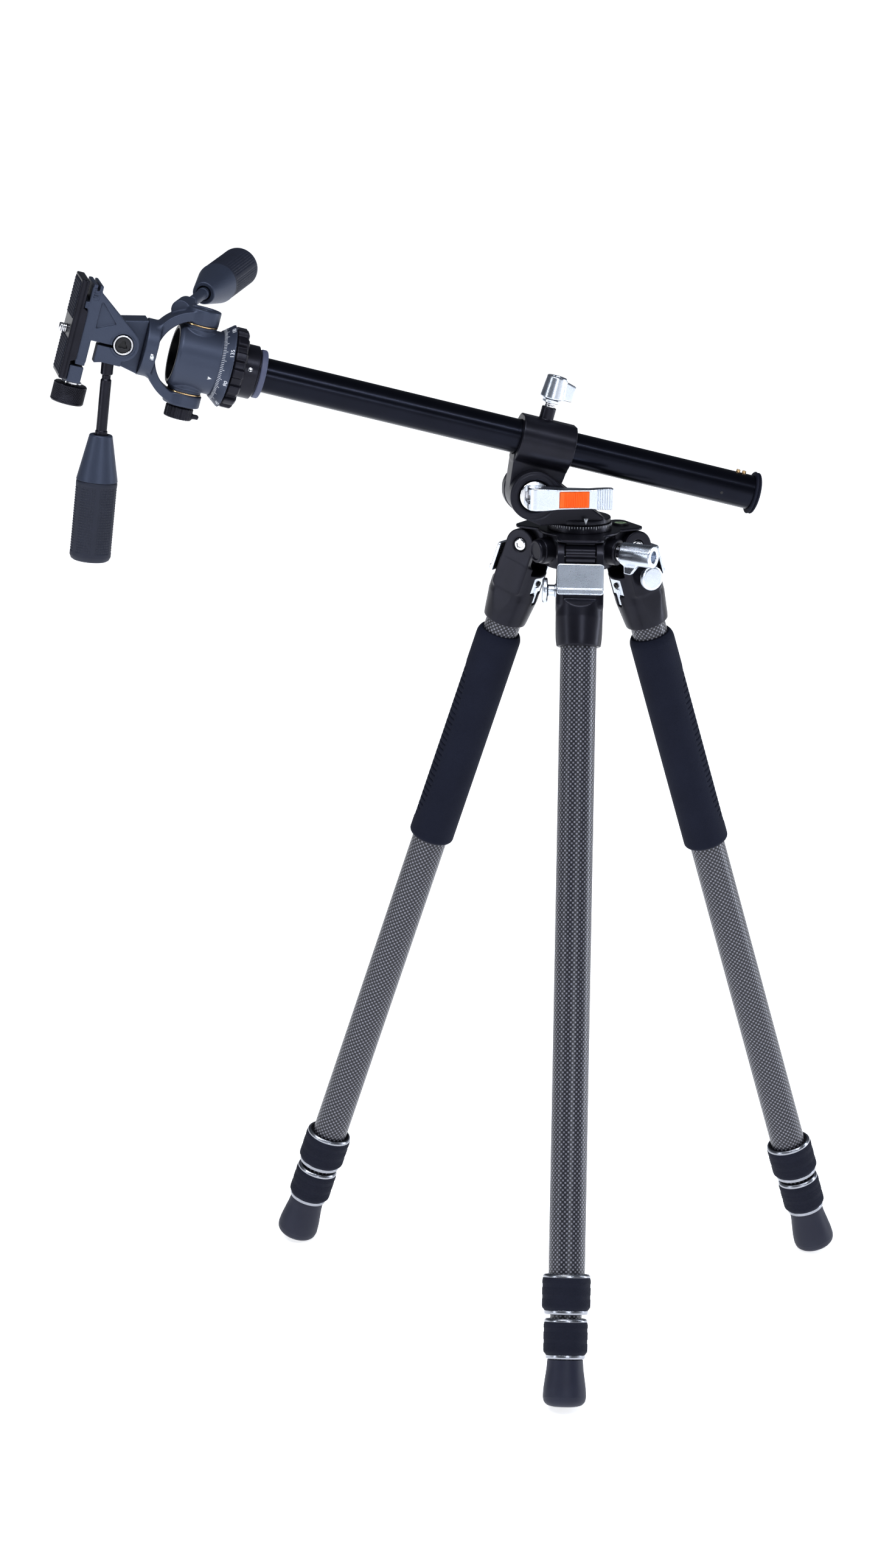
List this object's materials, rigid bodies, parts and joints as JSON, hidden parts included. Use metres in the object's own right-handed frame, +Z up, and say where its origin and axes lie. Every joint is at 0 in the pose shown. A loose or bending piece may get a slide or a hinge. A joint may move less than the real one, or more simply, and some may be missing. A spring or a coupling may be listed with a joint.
{
  "type": "camera tripod",
  "caption": "Carbon-fibre camera tripod, legs at their shortest, with a tilting centre column and a three-way pan head on its end.",
  "frame": {"origin": "on the ground, under the middle of the whole object's box", "axes": "+Z up, +X towards the tail of the centre column, -Y towards the leg without a foam grip"},
  "size_m": [0.5958, 0.3786, 0.7788],
  "materials": {
    "black_anodised": "satin black anodised",
    "column_satin": "smooth satin black tube",
    "carbon_tube": "woven carbon fibre under clear resin",
    "silver_metal": "satin silver anodised",
    "chrome_steel": "polished",
    "gunmetal_cast": "fine textured grey paint",
    "orange_insert": "ribbed orange",
    "level_vial": "clear with green liquid",
    "lock_rubber": "moulded black sleeve with embossed bands",
    "foot_rubber": "matt black rubber",
    "grip_foam": "closed-cell foam, matt",
    "handle_rubber": "knurled grip"
  },
  "bodies": {
    "canopy": {"canopy": "black_anodised", "leg_pivot_bolts": "chrome_steel", "swivel_scale_ring": "black_anodised", "bubble_level": "level_vial", "accessory_port_plug": "black_anodised"},
    "canopy_knob": {"canopy_lock_knob": "silver_metal"},
    "front_leg": {"front_leg_casting": "black_anodised", "front_strap_stud": "silver_metal", "front_upper_tube": "carbon_tube"},
    "front_latch": {"front_angle_latch": "silver_metal"},
    "front_upper_lock": {"front_upper_lock": "lock_rubber"},
    "front_middle_section": {"front_middle_tube": "carbon_tube"},
    "front_lower_lock": {"front_lower_lock": "lock_rubber"},
    "front_lower_section": {"front_lower_tube": "carbon_tube", "front_foot": "foot_rubber"},
    "left_leg": {"left_leg_casting": "black_anodised", "left_strap_stud": "silver_metal", "left_upper_tube": "carbon_tube", "left_foam_grip": "grip_foam"},
    "left_latch": {"left_angle_latch": "silver_metal"},
    "left_upper_lock": {"left_upper_lock": "lock_rubber"},
    "left_middle_section": {"left_middle_tube": "carbon_tube"},
    "left_lower_lock": {"left_lower_lock": "lock_rubber"},
    "left_lower_section": {"left_lower_tube": "carbon_tube", "left_foot": "foot_rubber"},
    "right_leg": {"right_leg_casting": "black_anodised", "right_strap_stud": "silver_metal", "right_upper_tube": "carbon_tube", "right_foam_grip": "grip_foam"},
    "right_latch": {"right_angle_latch": "silver_metal"},
    "right_upper_lock": {"right_upper_lock": "lock_rubber"},
    "right_middle_section": {"right_middle_tube": "carbon_tube"},
    "right_lower_lock": {"right_lower_lock": "lock_rubber"},
    "right_lower_section": {"right_lower_tube": "carbon_tube", "right_foot": "foot_rubber"},
    "swivel": {"swivel_base": "black_anodised", "knuckle_axle": "chrome_steel"},
    "lever": {"lock_lever": "silver_metal", "lever_grip_pad": "orange_insert"},
    "collar": {"tilt_collar": "black_anodised"},
    "collar_knob": {"collar_lock_knob": "silver_metal"},
    "column": {"column_tube": "column_satin", "column_end_cap": "black_anodised", "head_base": "black_anodised"},
    "pan_lock": {"pan_lock_ring": "black_anodised"},
    "pan": {"pan_housing": "gunmetal_cast", "tilt_axle": "chrome_steel"},
    "yoke": {"tilt_yoke": "gunmetal_cast", "side_tilt_drum": "gunmetal_cast", "side_tilt_axle": "chrome_steel"},
    "tilt_knob": {"tilt_lock_knob": "black_anodised"},
    "tilt_handle": {"tilt_handle_rod": "gunmetal_cast", "tilt_handle_grip": "handle_rubber"},
    "clamp": {"clamp_body": "gunmetal_cast", "camera_plate": "black_anodised"},
    "side_handle": {"side_handle_rod": "black_anodised", "side_handle_grip": "handle_rubber"},
    "jaw": {"clamp_jaw": "gunmetal_cast"},
    "clamp_knob": {"clamp_knob": "black_anodised"},
    "camera_screw": {"camera_screw": "chrome_steel"}
  },
  "joints": [
    {"name": "canopy_knob_turn", "type": "hinge", "parent": "canopy", "child": "canopy_knob", "pos_m": [0.11057, 0.0413, 0.5777], "axis": [0.866, -0.5, 0], "range_deg": [0, 180]},
    {"name": "front_leg_spread", "type": "hinge", "parent": "canopy", "child": "front_leg", "pos_m": [0.08173, 0.01795, 0.5777], "axis": [-1, 0, 0], "range_deg": [-17, 61]},
    {"name": "front_latch_pull", "type": "slide", "parent": "front_leg", "child": "front_latch", "axis": [0, -0.9472, 0.3206], "range_m": [0, 0.004], "stiffness_N_per_m": 400},
    {"name": "front_upper_lock_twist", "type": "hinge", "parent": "front_leg", "child": "front_upper_lock", "pos_m": [0.08173, -0.1462, 0.09273], "axis": [0, 0.3206, 0.9472], "range_deg": [0, 90]},
    {"name": "front_upper_slide", "type": "slide", "parent": "front_leg", "child": "front_middle_section", "axis": [0, -0.3206, -0.9472], "range_m": [0, 0.37]},
    {"name": "front_lower_lock_twist", "type": "hinge", "parent": "front_middle_section", "child": "front_lower_lock", "pos_m": [0.08173, -0.15627, 0.06298], "axis": [0, 0.3206, 0.9472], "range_deg": [0, 90]},
    {"name": "front_lower_slide", "type": "slide", "parent": "front_middle_section", "child": "front_lower_section", "axis": [0, -0.3206, -0.9472], "range_m": [0, 0.37]},
    {"name": "left_leg_spread", "type": "hinge", "parent": "canopy", "child": "left_leg", "pos_m": [0.04709, 0.07795, 0.5777], "axis": [0.5, 0.866, 0], "range_deg": [-17, 61]},
    {"name": "left_latch_pull", "type": "slide", "parent": "left_leg", "child": "left_latch", "axis": [-0.8203, 0.4736, 0.3206], "range_m": [0, 0.004], "stiffness_N_per_m": 400},
    {"name": "left_upper_lock_twist", "type": "hinge", "parent": "left_leg", "child": "left_upper_lock", "pos_m": [-0.09507, 0.16003, 0.09273], "axis": [0.2777, -0.1603, 0.9472], "range_deg": [0, 90]},
    {"name": "left_upper_slide", "type": "slide", "parent": "left_leg", "child": "left_middle_section", "axis": [-0.2777, 0.1603, -0.9472], "range_m": [0, 0.37]},
    {"name": "left_lower_lock_twist", "type": "hinge", "parent": "left_middle_section", "child": "left_lower_lock", "pos_m": [-0.10379, 0.16506, 0.06298], "axis": [0.2777, -0.1603, 0.9472], "range_deg": [0, 90]},
    {"name": "left_lower_slide", "type": "slide", "parent": "left_middle_section", "child": "left_lower_section", "axis": [-0.2777, 0.1603, -0.9472], "range_m": [0, 0.37]},
    {"name": "right_leg_spread", "type": "hinge", "parent": "canopy", "child": "right_leg", "pos_m": [0.11637, 0.07795, 0.5777], "axis": [0.5, -0.866, 0], "range_deg": [-17, 61]},
    {"name": "right_latch_pull", "type": "slide", "parent": "right_leg", "child": "right_latch", "axis": [0.8203, 0.4736, 0.3206], "range_m": [0, 0.004], "stiffness_N_per_m": 400},
    {"name": "right_upper_lock_twist", "type": "hinge", "parent": "right_leg", "child": "right_upper_lock", "pos_m": [0.25853, 0.16003, 0.09273], "axis": [-0.2777, -0.1603, 0.9472], "range_deg": [0, 90]},
    {"name": "right_upper_slide", "type": "slide", "parent": "right_leg", "child": "right_middle_section", "axis": [0.2777, 0.1603, -0.9472], "range_m": [0, 0.37]},
    {"name": "right_lower_lock_twist", "type": "hinge", "parent": "right_middle_section", "child": "right_lower_lock", "pos_m": [0.26725, 0.16506, 0.06298], "axis": [-0.2777, -0.1603, 0.9472], "range_deg": [0, 90]},
    {"name": "right_lower_slide", "type": "slide", "parent": "right_middle_section", "child": "right_lower_section", "axis": [0.2777, 0.1603, -0.9472], "range_m": [0, 0.37]},
    {"name": "swivel_turn", "type": "hinge", "parent": "canopy", "child": "swivel", "pos_m": [0.08173, 0.05795, 0.5777], "axis": [0, 0, 1], "continuous": true},
    {"name": "lever_swing", "type": "hinge", "parent": "swivel", "child": "lever", "pos_m": [0.04981, 0.02592, 0.6192], "axis": [0, 0, -1], "range_deg": [0, 100]},
    {"name": "column_tilt", "type": "hinge", "parent": "swivel", "child": "collar", "pos_m": [0.04529, 0.05153, 0.6192], "axis": [0.1736, -0.9848, 0], "range_deg": [-15, 60]},
    {"name": "collar_knob_turn", "type": "hinge", "parent": "collar", "child": "collar_knob", "pos_m": [0.05751, 0.05368, 0.68134], "axis": [0.2382, 0.042, 0.9703], "range_deg": [0, 180]},
    {"name": "column_slide", "type": "slide", "parent": "collar", "child": "column", "axis": [-0.9556, -0.1685, 0.2419], "range_m": [-0.175, 0.115]},
    {"name": "pan_lock_twist", "type": "hinge", "parent": "column", "child": "pan_lock", "pos_m": [-0.16453, 0.01453, 0.71045], "axis": [-0.9556, -0.1685, 0.2419], "range_deg": [0, 60]},
    {"name": "pan_turn", "type": "hinge", "parent": "column", "child": "pan", "pos_m": [-0.17389, 0.01288, 0.71282], "axis": [-0.9556, -0.1685, 0.2419], "continuous": true},
    {"name": "head_tilt", "type": "hinge", "parent": "pan", "child": "yoke", "pos_m": [-0.19787, 0.00865, 0.71889], "axis": [0.2382, 0.042, 0.9703], "range_deg": [-30, 90]},
    {"name": "tilt_knob_turn", "type": "hinge", "parent": "yoke", "child": "tilt_knob", "pos_m": [-0.20609, 0.0072, 0.68542], "axis": [-0.2382, -0.042, -0.9703], "range_deg": [0, 120]},
    {"name": "tilt_handle_twist", "type": "hinge", "parent": "yoke", "child": "tilt_handle", "pos_m": [-0.20635, 0.00715, 0.75299], "axis": [0.2435, 0.9668, 0.0773], "range_deg": [0, 180]},
    {"name": "side_tilt", "type": "hinge", "parent": "yoke", "child": "clamp", "pos_m": [-0.24852, -0.00028, 0.73171], "axis": [-0.1736, 0.9848, 0], "range_deg": [-30, 60]},
    {"name": "side_handle_twist", "type": "hinge", "parent": "clamp", "child": "side_handle", "pos_m": [-0.25488, -0.01562, 0.73394], "axis": [-0.0858, -0.0151, -0.9962], "range_deg": [0, 180]},
    {"name": "jaw_slide", "type": "slide", "parent": "clamp", "child": "jaw", "axis": [-0.2382, -0.042, -0.9703], "range_m": [0, 0.003]},
    {"name": "clamp_knob_turn", "type": "hinge", "parent": "jaw", "child": "clamp_knob", "pos_m": [-0.28206, -0.00619, 0.70465], "axis": [-0.2382, -0.042, -0.9703], "range_deg": [0, 1080]},
    {"name": "camera_screw_turn", "type": "hinge", "parent": "clamp", "child": "camera_screw", "pos_m": [-0.28034, -0.00589, 0.73977], "axis": [-0.9556, -0.1685, 0.2419], "continuous": true}
  ],
  "couplings": [
    {"joint": "clamp_knob_turn", "follows": "jaw_slide", "rad_per_m": 6283.2}
  ]
}
